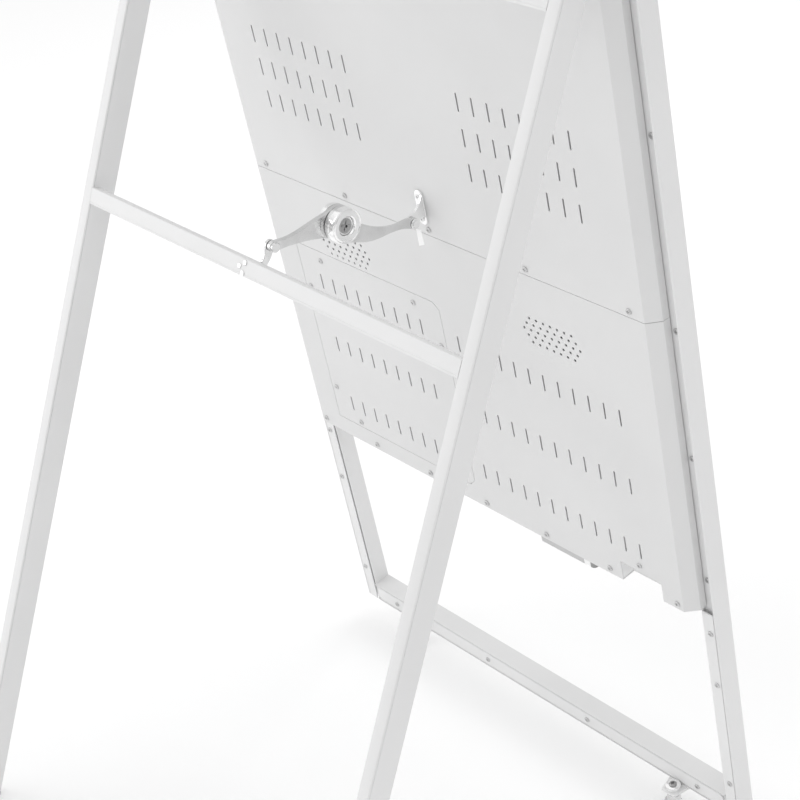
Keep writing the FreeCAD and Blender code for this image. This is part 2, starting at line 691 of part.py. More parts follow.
# --------------------------------------------------------------------------- hinges
def hinges():
    for name, side in SIDES:
        near = f"{side} * (leg_x - leg_wide / 2 - 0.8)"
        inner = f"{side} * (leg_x - leg_wide / 2 - 4.8)"
        far = f"{side} * (leg_x - leg_wide / 2 - 40)"
        body = new_body("hinge_bracket_" + name, DISPLAY)
        sketch = new_sketch(body, "XZ_Plane", -3)
        rectangle(sketch, far, "pivot_z - 26", near, "pivot_z + 26")
        pad(body, sketch, 3)
        ear = new_sketch(body, "YZ_Plane", inner)
        polygon(ear, [
            (2, "pivot_z - 22"), ("pivot_y + 9", "pivot_z - 6"),
            ("pivot_y + 9", "pivot_z + 6"), (2, "pivot_z + 22"),
        ])
        pad(body, ear, 4, back=side < 0)
        row_of_holes(body, "YZ_Plane", [("pivot_y", "pivot_z")], "pin_radius + fit")
        near_screws = [(x, z) for x, z in HINGE_SCREWS if x * side > 0]
        row_of_holes(body, "XZ_Plane", near_screws, "screw_radius + 0.1")
        outwards = X_AXIS * side
        start = f"{side} * (leg_x - leg_wide / 2 - 8)"
        shaft = drum("pin_radius", "leg_wide + 8.6", (start, "pivot_y", "pivot_z"), outwards)
        start = f"{side} * (leg_x + leg_wide / 2 + 0.5)"
        head = drum("pin_radius + 3", 2, (start, "pivot_y", "pivot_z"), outwards)
        start = f"{side} * (leg_x - leg_wide / 2 - 6.6)"
        clip = drum("pin_radius + 2", 1.6, (start, "pivot_y", "pivot_z"), outwards)
        joined("hinge_pin_" + name, [shaft, head, clip], DISPLAY)


# ----------------------------------------------------------------------- rear frame
def rear_frame():
    leg_end = pivot_rise / math.cos(lean) - value("boot_long")
    boot_slope = math.tan(lean) * value("leg_deep") / 2
    for name, side in SIDES:
        body = new_body("rear_leg_" + name, REAR)
        sketch = new_sketch(body, "XY_Plane", "leg_rise")
        half_w = "leg_wide / 2"
        half_d = "leg_deep / 2"
        rectangle(sketch, f"{side} * leg_x - {half_w}", f"-{half_d}",
                  f"{side} * leg_x + {half_w}", half_d)
        rectangle(sketch, f"{side} * leg_x - {half_w} + leg_wall", f"-{half_d} + leg_wall",
                  f"{side} * leg_x + {half_w} - leg_wall", f"{half_d} - leg_wall")
        tube = pad(body, sketch, "leg_rise", back=True)
        tube.setExpression("Length", f"dims.leg_rise + {leg_end}")
        bore = new_sketch(body, "YZ_Plane", f"{side} * leg_x")
        circle(bore, 0, 0, "pin_radius + fit")
        cut_through(body, bore)
        corner = f"{side} * leg_x - leg_wide / 2"
        cap = block(("leg_wide", "leg_deep", "cap_thick"), (corner, "-leg_deep / 2", "leg_rise"))
        plug = block(("leg_wide - 2 * leg_wall - 0.2", "leg_deep - 2 * leg_wall - 0.2", 3),
                     (f"{corner} + leg_wall + 0.1", "-leg_deep / 2 + leg_wall + 0.1", "leg_rise - 3"))
        joined("leg_cap_" + name, [cap, plug], REAR)
        boot = new_body("rear_foot_" + name, REAR)
        sketch = new_sketch(boot, "YZ_Plane", f"{side} * leg_x - leg_wide / 2")
        polygon(sketch, [
            ("-leg_deep / 2", -leg_end), ("-leg_deep / 2", -leg_end - value("boot_long") + boot_slope),
            ("leg_deep / 2", -leg_end - value("boot_long") - boot_slope), ("leg_deep / 2", -leg_end),
        ])
        pad(boot, sketch, "leg_wide")
    span = "2 * leg_x - leg_wide"
    for label, drop in (("rear_crossbar", "bar_drop"), ("rear_top_bar", "top_bar_drop")):
        front = "leg_deep / 2 - bar_deep"
        low = f"-{drop} - bar_face"
        bar = block((span, "bar_deep", "bar_face"), (f"-({span}) / 2", front, low))
        tools = [block((span, "bar_deep - 2 * bar_wall", "bar_face - 2 * bar_wall"),
                       (f"-({span}) / 2", f"{front} + bar_wall", f"{low} + bar_wall"))]
        if label == "rear_crossbar":
            tools += [drum("rivet_radius", "bar_deep + 2", (x, f"{front} - 1", z), Y_AXIS) for x, z in RIVETS]
        hollowed(label, bar, tools, REAR)


# ----------------------------------------------------------------------------- stay
def stay_places():
    """The stay's three pivots in the display frame: cover, hub and crossbar."""
    cover_end_point = spot(0, "stay_y", "stay_z")
    tail_world = REAR.multVec(spot(0, "-tail_front", "-tail_drop"))
    tail = DISPLAY.inverse().multVec(tail_world)
    reach = tail - cover_end_point
    upper = value("upper_arm")
    lower = value("lower_arm")
    along = (upper ** 2 - lower ** 2 + reach.Length ** 2) / (2 * reach.Length)
    aside = math.sqrt(upper ** 2 - along ** 2)
    ahead = FreeCAD.Vector(reach).normalize()
    upward = FreeCAD.Vector(0, -ahead.z, ahead.y)
    return cover_end_point, cover_end_point + ahead * along + upward * aside, tail


def arm_frame(start, end):
    """A frame at one pivot whose z runs to the next."""
    run = end - start
    turn = math.degrees(math.atan2(-run.y, run.z))
    return DISPLAY.multiply(tilted(start, turn))


def arm(label, frame, hub_z, far_z, start_x):
    """A flat tapered arm, wide at the hub and narrow at its far pivot."""
    body = new_body(label, frame)
    sketch = new_sketch(body, "YZ_Plane", start_x)
    circle(sketch, 0, hub_z, "hub_radius")
    pad(body, sketch, "arm_thick")
    sketch = new_sketch(body, "YZ_Plane", start_x)
    polygon(sketch, [("-arm_root", hub_z), ("-arm_tip", far_z), ("arm_tip", far_z), ("arm_root", hub_z)])
    pad(body, sketch, "arm_thick")
    sketch = new_sketch(body, "YZ_Plane", start_x)
    circle(sketch, 0, far_z, "arm_end")
    pad(body, sketch, "arm_thick")
    row_of_holes(body, "YZ_Plane", [(0, far_z)], "small_bore")
    row_of_holes(body, "YZ_Plane", [(0, hub_z)], "hub_bore")
    return body


def stay():
    cover_pivot, hub, tail = stay_places()
    upper = arm_frame(cover_pivot, hub)
    lower = arm_frame(hub, tail)
    arm("stay_upper_arm", upper, "upper_arm", 0, "-arm_thick")
    arm("stay_lower_arm", lower, 0, "lower_arm", 0.4)
    cap = drum("hub_radius", 8, (-13, 0, "upper_arm"))
    dish = drum(8.5, 3, (-13, 0, "upper_arm"))
    core = drum("hub_bore", 8, (-13, 0, "upper_arm"))
    hollowed("stay_hub_front", cap, [dish, core], upper)
    spindle = drum("spindle_radius", 21.9, (-10, 0, "upper_arm"))
    screw_head = drum(7.4, 1.6, (-11.6, 0, "upper_arm"))
    joined("stay_hub_spindle", [spindle, screw_head], upper)
    back = drum("hub_radius - 0.4", 5.6, (5.4, 0, 0))
    back_bore = drum("hub_bore", 5.6, (5.4, 0, 0))
    hollowed("stay_hub_back", back, [back_bore], lower)
    shaft = drum("small_pin", 8.4, (-2.8, 0, "lower_arm"))
    head = drum(4.8, 2.4, (-2.4, 0, "lower_arm"))
    joined("stay_tail_pin", [shaft, head], lower)
    shaft = drum("small_pin", 11.9, (-7.8, "stay_y", "stay_z"))
    head = drum(5.2, 2.4, (-7.8, "stay_y", "stay_z"))
    joined("stay_cover_pin", [shaft, head], DISPLAY)
    bracket = new_body("stay_cover_bracket", DISPLAY)
    sketch = new_sketch(bracket, "XZ_Plane", -2.5)
    stadium(sketch, 6.1, "stay_z + 4.5", 39, 11)
    pad(bracket, sketch, 2.5)
    sketch = new_sketch(bracket, "YZ_Plane", 0.6)
    polygon(sketch, [
        (1, "stay_z - 12"), ("stay_y + 6", "stay_z - 6"),
        ("stay_y + 6", "stay_z + 6"), (1, "stay_z + 14"),
    ])
    pad(bracket, sketch, 2.5)
    row_of_holes(bracket, "YZ_Plane", [("stay_y", "stay_z")], "small_bore")
    row_of_holes(bracket, "XZ_Plane", STAY_SCREWS, "screw_radius + 0.1")
    tail_bracket = new_body("stay_crossbar_bracket", REAR)
    sketch = new_sketch(tail_bracket, "XZ_Plane", "bar_deep - leg_deep / 2")
    rectangle(sketch, 6.4, "-bar_drop - bar_face + 1", 30, "-bar_drop + 2")
    pad(tail_bracket, sketch, 1.6)
    sketch = new_sketch(tail_bracket, "YZ_Plane", 6.4)
    back = "leg_deep / 2 - bar_deep"
    low = "-bar_drop - bar_face + 1"
    high = "-tail_drop + 5"
    polygon(sketch, [(back, low), (back, high), ("-tail_front - 5", high), ("-tail_front - 5", low)])
    pad(tail_bracket, sketch, 3)
    row_of_holes(tail_bracket, "XZ_Plane", RIVETS, "rivet_radius")
    tag = block((8.4, 0.6, 21), (-8, 17, "stay_z - 29"))
    joined("stay_tag", [tag, block((1.1, 0.6, 6), (-0.5, 17, "stay_z - 14"))], DISPLAY)


# ------------------------------------------------------------------- levelling feet
def foot_bracket(name, x):
    """Plate welded under the rail that carries a welded nut behind the rail."""
    body = new_body("foot_bracket_" + name, DISPLAY)
    sketch = new_sketch(body, "XY_Plane")
    polygon(sketch, [
        (f"{x} - 20", "-frame_front + 4"), (f"{x} + 20", "-frame_front + 4"),
        (f"{x} + 20", "-frame_back + 3"), (f"{x} + 9", "-foot_y + 9.6"),
        (f"{x} - 9", "-foot_y + 9.6"), (f"{x} - 20", "-frame_back + 3"),
    ])
    pad(body, sketch, "plate_thick", back=True)
    nut = new_sketch(body, "XY_Plane")
    circle(nut, x, "-foot_y", "nut_radius")
    pad(body, nut, "nut_high")
    row_of_holes(body, "XY_Plane", [(x, "-foot_y")], "stud_radius + fit")


def feet():
    for name, side in SIDES:
        x = f"{side} * foot_x"
        foot_bracket(name, x)
        reach = "ball_drop - 1 + nut_high + stud_proud"
        stud = drum("stud_radius", reach, (x, "-foot_y", "-ball_drop + 1"), Z_AXIS)
        joined("foot_stud_" + name, [stud, ball("ball_radius", (x, "-foot_y", "-ball_drop"))], DISPLAY)
        centre = DISPLAY.multVec(spot(x, "-foot_y", "-ball_drop"))
        upright = FreeCAD.Placement(centre, FreeCAD.Rotation())
        base = drum("pad_radius", 6, (0, 0, "-pad_high"), Z_AXIS)
        neck = drum("pad_radius - 2.4", "pad_high - 4.6", (0, 0, "-pad_high + 5"), Z_AXIS)
        socket = ball("ball_radius + fit", (0, 0, 0))
        hollowed("foot_pad_" + name, merged([base, neck]), [socket], upright)


# ------------------------------------------------------------------------ fasteners
def screw(head_radius, head_high, shank_radius, shank_long):
    """A pan-head screw along +Z, its head standing on z = 0, with a cross recess."""
    head = Part.makeCylinder(head_radius, head_high)
    head = head.makeFillet(head_high * 0.6, [head.Edges[0]])
    reach = head_radius * 0.6
    half = reach * 0.15
    floor = head_high * 0.5
    arm_x = Part.makeBox(2 * reach, 2 * half, head_high, FreeCAD.Vector(-reach, -half, floor))
    arm_y = Part.makeBox(2 * half, 2 * reach, head_high, FreeCAD.Vector(-half, -reach, floor))
    shank = Part.makeCylinder(shank_radius, shank_long, FreeCAD.Vector(0, 0, -shank_long))
    return head.cut(arm_x).cut(arm_y).fuse(shank).removeSplitter()


def fasteners(label, shape, places, frame, direction=Y_AXIS):
    """A node of identical fasteners, one solid at each place."""
    solids = []
    for place in places:
        turned = FreeCAD.Placement(spot(*place), FreeCAD.Rotation(Z_AXIS, direction))
        solids.append(shape.transformed(turned.toMatrix()))
    item = doc.addObject("Part::Feature", label)
    item.Shape = Part.makeCompound(solids)
    return keep(item, label, frame)


def screws():
    head = value("head_radius")
    shank = value("screw_radius")
    covers = [(x, 0, SEAM_SCREW_Z) for x in SEAM_SCREWS] + [(x, 0, EDGE_SCREW_Z) for x in EDGE_SCREWS]
    fasteners("cover_screws", screw(head, 1.6, shank, 5), covers, DISPLAY)
    sheets = [(x, 0, z) for x, z in DOOR_SCREWS] + [("-inlet_x", 0, "inlet_high + 8")]
    fasteners("sheet_screws", screw(head, 1.4, shank, 2.4), sheets, DISPLAY)
    channel = [(strip_screw_x(side), "-groove_floor", z) for name, side in SIDES for z in CHANNEL_SCREWS]
    fasteners("channel_screws", screw(head, 1.6, shank, 6), channel, DISPLAY)
    strips = [(strip_screw_x(side), "-frame_back", z) for name, side in SIDES for z in STRIP_SCREWS]
    strips += [(x, "-frame_back", "rail_face / 2") for x in RAIL_SCREWS]
    fasteners("strip_screws", screw(head, 1.4, shank, 7), strips, DISPLAY)
    brackets = [(x, 2.5, z) for x, z in STAY_SCREWS] + [(x, 3, z) for x, z in HINGE_SCREWS]
    fasteners("bracket_screws", screw(2.8, 1.4, shank, 8), brackets, DISPLAY)
    rivets = [(x, "leg_deep / 2", z) for x, z in RIVETS]
    fasteners("crossbar_rivets", screw(2.6, 0.9, 1.55, 13), rivets, REAR)


front_frame()
display_stack()
upper_cover()
lower_cover()
access_door()
cover_rails()
electronics()
hinges()
rear_frame()
stay()
feet()
screws()
doc.recompute()


# -------------------------------------------------------------------- check and save
for item in doc.Objects:
    if "Invalid" in item.State or "Error" in item.State:
        raise RuntimeError(f"{item.Name} failed: {item.State}")
for item in parts:
    if item.Shape.isNull() or not item.Shape.isValid():
        raise RuntimeError(f"{item.Label} has no valid shape")
os.makedirs("parts", exist_ok=True)
for item in parts:
    item.Shape.exportStep(f"parts/{item.Label}.step")
    box = item.Shape.BoundBox
    print(f"{item.Label:24s} {len(item.Shape.Solids):3d} solids {item.Shape.Volume:12.1f} mm3 "
          f"z {box.ZMin:8.1f} {box.ZMax:8.1f}")
print(len(parts), "nodes")
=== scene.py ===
import json
import math

import bmesh
import bpy
from mathutils import Matrix, Vector


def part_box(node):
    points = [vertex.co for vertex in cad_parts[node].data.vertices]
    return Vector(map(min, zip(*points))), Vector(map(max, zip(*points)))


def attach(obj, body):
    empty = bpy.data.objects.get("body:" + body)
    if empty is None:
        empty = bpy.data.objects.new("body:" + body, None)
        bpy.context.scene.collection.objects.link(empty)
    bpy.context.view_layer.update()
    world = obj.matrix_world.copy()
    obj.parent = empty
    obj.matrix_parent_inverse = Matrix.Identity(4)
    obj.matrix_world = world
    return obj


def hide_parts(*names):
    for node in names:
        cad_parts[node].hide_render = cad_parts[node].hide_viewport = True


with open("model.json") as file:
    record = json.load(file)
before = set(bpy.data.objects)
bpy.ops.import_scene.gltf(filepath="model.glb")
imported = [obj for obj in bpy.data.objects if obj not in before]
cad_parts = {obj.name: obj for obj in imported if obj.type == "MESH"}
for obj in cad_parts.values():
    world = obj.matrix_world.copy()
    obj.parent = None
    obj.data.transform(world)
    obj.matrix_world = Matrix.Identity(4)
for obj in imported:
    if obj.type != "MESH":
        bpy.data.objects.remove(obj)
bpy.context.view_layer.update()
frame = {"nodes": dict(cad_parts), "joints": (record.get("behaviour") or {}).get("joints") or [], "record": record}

# The display leans back and the rear frame leans forward by the same angle. Each has a
# frame of its own here: x across, y backwards and z up along the leaning part.
LEAN = math.radians(15.67)
JOINTS = {joint["name"]: joint for joint in frame["joints"]}
PIVOT = Vector(JOINTS["rear_frame_fold"]["pos_m"])
COVER_PIVOT = Vector(JOINTS["stay_upper_swing"]["pos_m"])
ELBOW = Vector(JOINTS["stay_elbow"]["pos_m"])
SIDES = (("left", -1), ("right", 1))

# Sizes below are in millimetres, in those two frames.
MM = 0.001

# Front frame, with y from the covers' flat back and z from the frame's lower end.
FRAME_HALF = 301
FRAME_LONG = 1320
FRAME_FRONT = -38.5
FRAME_BACK = -15.5
STILE_FACE = 18
WALL = 1.6
GROOVE_FLOOR = -21
LIP_BACK = -17.2
COVER_BOTTOM = 297.6
STRIP_FRONT = -17.1
STRIP_TOP = 292
STRIP_INNER = 16.6
STRIP_GAP = 0.75
RAIL_STRIP_MARGIN = 2
RAIL_STRIP_TOP = 22.5
HINGE_Z = 989.6
HINGE_Y = 19.2

# Port block: a dark end, then a label, then the strip with its sockets.
PORT_DEEP = 8.8
PORT_HIGH = 7
PORT_END = 6
PORT_LABEL = 9
SOCKET_COUNT = 3
SOCKET_MARGIN = 6
SOCKET_BACK = -2.2
SOCKET_FRONT = -6.6
SOCKET_LONG = 11
SOCKET_STEP = 18

# Rear frame, with y from the middle of a leg and z from the hinge.
LEG_WIDE = 13.5
LEG_DEEP = 28
LEG_X = 274.8
LEG_RISE = 8
LEG_SEAM = 1.9
BOOT = 9
CAP_THICK = 1.5
BAR_DROP = 322
TOP_BAR_DROP = 22
BAR_FACE = 16.6
BAR_DEEP = 10
BAR_SEAM = 2.4

# Stay: x of each layer, then sizes in the display's frame and in the rear frame.
UPPER_ARM_X = (-5, 0)
LOWER_ARM_X = (0.4, 5.4)
LUG_X = (6.4, 9.4)
EAR_X = (0.6, 3.1)
ARM_END = 5.4
STAY_Y = 21
STAY_Z = 670
PLATE_X = 6.1
PLATE_HALF = 5.5
PLATE_THICK = 2.5
EAR_ROOT = 2.2
EAR_END = 6.2
TAG_FRONT = 16.8
TAG_THICK = 0.6
TAIL_DROP = 305
TAIL_FRONT = 1
LUG_FOOT = 1.6
LUG_WIDE = 30

# Levelling feet.
FOOT_X = 216
FOOT_Y = 6.6
BALL_DROP = 9
FOOT_PLATE = 3
FOOT_PLATE_EDGE = ((16, -34.5), (14, -17.5), (9, 3))
NUT_TOP = 4.6
THREAD_TURNS = 12
THREAD_PITCH = 1.2
THREAD_ROOT = 3.6
THREAD_CREST = 4.0
SOLE_THICK = 1.4


def leaning(origin, angle):
    """A frame at a point, turned about the axis that runs across the board."""
    return Matrix.Translation(origin) @ Matrix.Rotation(angle, 4, "X")


def arm_frame(start, end):
    """A frame at one pivot of the stay whose z runs to the next."""
    run = end - start
    return leaning(start, math.atan2(-run.y, run.z))


REAR = leaning(PIVOT, LEAN)
TILT = Matrix.Rotation(-LEAN, 4, "X")
DISPLAY = Matrix.Translation(PIVOT - TILT @ (Vector((0, HINGE_Y, HINGE_Z)) * MM)) @ TILT
TAIL = REAR @ (Vector((0, -TAIL_FRONT, -TAIL_DROP)) * MM)
UPPER = arm_frame(COVER_PIVOT, ELBOW)
LOWER = arm_frame(ELBOW, TAIL)
UPPER_ARM = (ELBOW - COVER_PIVOT).length / MM
LOWER_ARM = (TAIL - ELBOW).length / MM


# ---------------------------------------------------------------------- materials
class Nodes:
    """A few short calls for building one material's node tree."""

    def __init__(self, name):
        self.material = bpy.data.materials.new(name)
        self.material.use_nodes = True
        self.tree = self.material.node_tree
        self.shader = self.tree.nodes["Principled BSDF"]
        coordinates = self.tree.nodes.new("ShaderNodeTexCoord")
        self.place = coordinates.outputs["Object"]

    def set(self, **values):
        for name, value in values.items():
            self.shader.inputs[name.replace("_", " ")].default_value = value

    def new(self, kind, **values):
        node = self.tree.nodes.new(kind)
        for name, value in values.items():
            node.inputs[name.replace("_", " ")].default_value = value
        return node

    def join(self, start, end):
        self.tree.links.new(start, end)

    def noise(self, scale, detail=4.0, stretch=(1, 1, 1)):
        """A noise signal; a stretch above 1 packs it tighter along that axis."""
        mapping = self.new("ShaderNodeMapping", Scale=stretch)
        self.join(self.place, mapping.inputs["Vector"])
        noise = self.new("ShaderNodeTexNoise", Scale=scale, Detail=detail)
        self.join(mapping.outputs["Vector"], noise.inputs["Vector"])
        return noise.outputs["Fac"]

    def ramp(self, source, stops):
        """Two colours, with a fade between two levels of a signal."""
        ramp = self.new("ShaderNodeValToRGB")
        for element, (level, colour) in zip(ramp.color_ramp.elements, stops):
            element.position = level
            element.color = (*colour, 1)
        self.join(source, ramp.inputs["Fac"])
        return ramp.outputs["Color"]

    def spread(self, source, low, high):
        """A 0 to 1 signal brought to another range."""
        node = self.new("ShaderNodeMapRange")
        node.inputs["To Min"].default_value = low
        node.inputs["To Max"].default_value = high
        self.join(source, node.inputs["Value"])
        return node.outputs["Result"]

    def bump(self, source, strength, distance):
        """Relief from a signal, with the distance in metres."""
        node = self.new("ShaderNodeBump", Strength=strength, Distance=distance)
        self.join(source, node.inputs["Height"])
        self.join(node.outputs["Normal"], self.shader.inputs["Normal"])

    def colour(self, source):
        self.join(source, self.shader.inputs["Base Color"])

    def roughness(self, source):
        self.join(source, self.shader.inputs["Roughness"])


def grey(level):
    """A neutral colour."""
    return (level, level, level)


def powder_coat(name, level, rough=0.42):
    """Pale powder coat: fine orange peel, faint cloudiness and a little handling dirt."""
    m = Nodes(name)
    m.set(Metallic=0.0, Specular_IOR_Level=0.45)
    cloud = m.noise(5.0, 3.0)
    m.colour(m.ramp(cloud, [(0.35, grey(level - 0.022)), (0.65, grey(level + 0.012))]))
    m.roughness(m.spread(m.noise(28.0, 4.0), rough - 0.05, rough + 0.07))
    m.bump(m.noise(1400.0, 2.0), 0.14, 0.0002)
    return m.material


def plated(name, level=0.74, rough=0.16, grain=0.10):
    """Bright plating: nearly a mirror, with polishing streaks and faint pitting."""
    m = Nodes(name)
    m.set(Metallic=1.0)
    m.colour(m.ramp(m.noise(60.0, 4.0), [(0.3, grey(level - 0.06)), (0.7, grey(level + 0.04))]))
    m.roughness(m.spread(m.noise(240.0, 5.0, (1, 1, 9)), rough - 0.05, rough + grain))
    m.bump(m.noise(900.0, 3.0), 0.06, 0.0002)
    return m.material


def mill_aluminium(name):
    """Mill-finished sheet, with its rolling grain along one way."""
    m = Nodes(name)
    m.set(Metallic=1.0)
    m.colour(m.ramp(m.noise(30.0), [(0.3, grey(0.6)), (0.7, grey(0.7))]))
    m.roughness(m.spread(m.noise(500.0, 4.0, (1, 1, 30)), 0.3, 0.5))
    m.bump(m.noise(700.0, 3.0, (1, 1, 25)), 0.1, 0.0002)
    return m.material


def moulded(name, low, high, rough, grain=700.0, strength=0.2):
    """Moulded plastic or rubber with a fine texture."""
    m = Nodes(name)
    m.colour(m.ramp(m.noise(40.0), [(0.3, low), (0.7, high)]))
    m.roughness(m.spread(m.noise(90.0), rough - 0.06, rough + 0.06))
    m.bump(m.noise(grain, 3.0), strength, 0.0003)
    return m.material


def screen_glass():
    """Dark polished cover glass with a trace of wiping marks."""
    m = Nodes("screen_glass")
    m.set(Specular_IOR_Level=0.55, IOR=1.5)
    m.colour(m.ramp(m.noise(3.0), [(0.3, grey(0.012)), (0.7, grey(0.02))]))
    m.roughness(m.spread(m.noise(14.0, 5.0, (1, 1, 0.3)), 0.03, 0.09))
    return m.material


WHITE = powder_coat("white_coat", 0.80)
# The bottom rail gets a darker copy of the white coat as painted shade: it stands in for the shade that the
# display casts on the rail's top face.
RAIL_SHADED_WHITE = powder_coat("rail_coat_painted_shade", 0.69)
COVER_WHITE = powder_coat("cover_coat", 0.745, 0.46)
CHROME = plated("chrome_plate")
STEEL = plated("screw_plate", 0.62, 0.24, 0.14)
DARK_STEEL = plated("dark_plate", 0.42, 0.3, 0.12)
ALUMINIUM = mill_aluminium("mill_aluminium")
BLACK = moulded("black_plastic", grey(0.025), grey(0.045), 0.5)
DARK_PORT = moulded("dark_port_plastic", grey(0.24), grey(0.30), 0.4)
PORT = moulded("port_plastic", grey(0.52), grey(0.58), 0.42)
POLISHED = plated("polished_plate", 0.95, 0.12, 0.06)
INLET_WHITE = moulded("inlet_plastic", grey(0.90), grey(0.95), 0.5)
RUBBER = moulded("rubber_foot", grey(0.018), grey(0.035), 0.72, 420.0, 0.35)
PALE_RUBBER = moulded("pale_rubber", grey(0.50), grey(0.58), 0.7, 420.0, 0.3)
BOARD = moulded("circuit_board", (0.012, 0.10, 0.04), (0.02, 0.15, 0.06), 0.4)
TAG = moulded("tag_plastic", grey(0.94), grey(0.98), 0.5)
CAP = moulded("cap_plastic", grey(0.70), grey(0.76), 0.48)
GLASS = screen_glass()
FILM = moulded("screen_film", grey(0.008), grey(0.016), 0.3)

SLOT_MATERIALS = {
    "white_coat": WHITE,
    "chrome_plate": CHROME,
    "screen_glass": GLASS,
    "screen_film": FILM,
    "sheet_aluminium": ALUMINIUM,
    "black_plastic": BLACK,
    "circuit_board": BOARD,
    "tag_plastic": TAG,
    "white_plastic": CAP,
    "rubber_foot": RUBBER,
}
NODE_MATERIALS = {
    "upper_rear_cover": COVER_WHITE,
    "lower_rear_cover": COVER_WHITE,
    "access_door": COVER_WHITE,
    "cover_screws": STEEL,
    "sheet_screws": STEEL,
    "channel_screws": STEEL,
    "strip_screws": STEEL,
    "inlet_bracket": INLET_WHITE,
    "bottom_rail": RAIL_SHADED_WHITE,
}


def paint_frame():
    """Give every node of the CAD its material, by its slot or by its name."""
    slots = {part["node"]: part["material_slot"] for part in frame["record"]["subparts"]}
    for name, node in frame["nodes"].items():
        material = NODE_MATERIALS.get(name, SLOT_MATERIALS[slots[name]])
        node.data.materials.clear()
        node.data.materials.append(material)


# ----------------------------------------------------------------------- outlines
def arc(centre, radius, start, end, step=10):
    """Points round a circle, from one angle to another in degrees."""
    count = max(2, round(abs(end - start) / step))
    turns = [math.radians(start + (end - start) * index / count) for index in range(count + 1)]
    return [(centre[0] + radius * math.cos(t), centre[1] + radius * math.sin(t)) for t in turns]


def hexagon(centre, radius):
    """Outline of a bolt's head."""
    return arc(centre, radius, 0, 300, 60)


def spline(points, steps=5):
    """A smooth line through a few points, without its first and last."""
    ends = [points[0]] + list(points) + [points[-1]]
    line = []
    for index in range(1, len(ends) - 2):
        before, start, end, after = (Vector(ends[index + shift]) for shift in (-1, 0, 1, 2))
        for step in range(steps):
            t = step / steps
            bend = (end - before) * t + (2 * before - 5 * start + 4 * end - after) * t ** 2
            bend += (3 * start - before - 3 * end + after) * t ** 3
            line.append(tuple(start + bend / 2))
    return line[1:]


def rounded_box(x0, y0, x1, y1, radius):
    """Outline of a rectangle with round corners."""
    corners = ((x1, y1, -1, -1), (x0, y1, 1, -1), (x0, y0, 1, 1), (x1, y0, -1, 1))
    line = []
    for quarter, (x, y, inward_x, inward_y) in enumerate(corners):
        centre = (x + inward_x * radius, y + inward_y * radius)
        line += arc(centre, radius, 90 * quarter, 90 * quarter + 90, 22.5)
    return line


def grooved(outline, face_u, groove_v, depth, half):
    """Let a fine groove into an upright side of an outline."""
    middle = sum(u for u, v in outline) / len(outline)
    line = []
    for index, point in enumerate(outline):
        line.append(point)
        following = outline[(index + 1) % len(outline)]
        on_side = abs(point[0] - face_u) < 0.01 and abs(following[0] - face_u) < 0.01
        if on_side and min(point[1], following[1]) < groove_v < max(point[1], following[1]):
            way = 1 if following[1] > point[1] else -1
            inward = depth if face_u < middle else -depth
            line.append((face_u, groove_v - way * half))
            line.append((face_u + inward, groove_v))
            line.append((face_u, groove_v + way * half))
    return line


# ------------------------------------------------------------------- mesh helpers
def spot(axis, u, v, w, place):
    """A placed point in metres: w runs along the axis, and u and v lie across it."""
    point = {"X": (w, u, v), "Y": (u, w, v), "Z": (u, v, w)}[axis]
    return place @ (Vector(point) * MM)


def add_prism(mesh, outline, low, high, axis, place):
    """A closed prism: the outline, in mm, runs along an axis of a placed frame."""
    rings = []
    for level in (low, high):
        rings.append([mesh.verts.new(spot(axis, u, v, level, place)) for u, v in outline])
    count = len(outline)
    faces = [rings[0][::-1], rings[1]]
    for index in range(count):
        following = (index + 1) % count
        faces.append([rings[0][index], rings[0][following], rings[1][following], rings[1][index]])
    made = [mesh.faces.new(face) for face in faces]
    bmesh.ops.recalc_face_normals(mesh, faces=made)


def prism(outline, low, high, axis, place):
    """A mesh of its own that holds one prism."""
    mesh = bmesh.new()
    add_prism(mesh, outline, low, high, axis, place)
    return mesh


def turned(profile, centre, axis, place, segments=56, ripple=0.0, teeth=0):
    """A closed turned form: (along, radius) pairs in mm about a line along an axis."""
    mesh = bmesh.new()
    columns = []
    for along, radius in profile:
        ring = []
        for index in range(segments if radius else 1):
            turn = 2 * math.pi * index / segments
            reach = radius + ripple * math.cos(teeth * turn) * (radius > 0)
            u = centre[0] + reach * math.cos(turn)
            v = centre[1] + reach * math.sin(turn)
            ring.append(mesh.verts.new(spot(axis, u, v, along, place)))
        columns.append(ring)
    made = []
    for ring, beyond in zip(columns, columns[1:]):
        for index in range(segments):
            following = (index + 1) % segments
            corners = [ring[index % len(ring)], ring[following % len(ring)]]
            corners += [beyond[following % len(beyond)], beyond[index % len(beyond)]]
            made.append(mesh.faces.new(list(dict.fromkeys(corners))))
    bmesh.ops.recalc_face_normals(mesh, faces=made)
    return mesh


def piece(name, mesh_data, material, body, replaces=()):
    """Turn a bmesh into a named piece that rides on a body."""
    mesh = bpy.data.meshes.new(name)
    mesh_data.normal_update()
    mesh_data.to_mesh(mesh)
    mesh_data.free()
    mesh.materials.append(material)
    item = bpy.data.objects.new(name, mesh)
    bpy.context.scene.collection.objects.link(item)
    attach(item, body)
    if replaces:
        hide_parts(*replaces)
    return item


def smooth(item, angle=30):
    """Smooth shading, except across edges sharper than an angle."""
    for face in item.data.polygons:
        face.use_smooth = True
    item.data.set_sharp_from_angle(angle=math.radians(angle))


def rounded(item, width, segments=3):
    """Round the sharp edges, by a width in mm."""
    bevel = item.modifiers.new("edges", "BEVEL")
    bevel.width = width * MM
    bevel.segments = segments
    bevel.limit_method = "ANGLE"
    bevel.angle_limit = math.radians(30)
    bevel.harden_normals = True
    smooth(item, 40)


def span_across(node):
    """How far a node reaches across the object, in mm."""
    low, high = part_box(node)
    return low[0] / MM, high[0] / MM


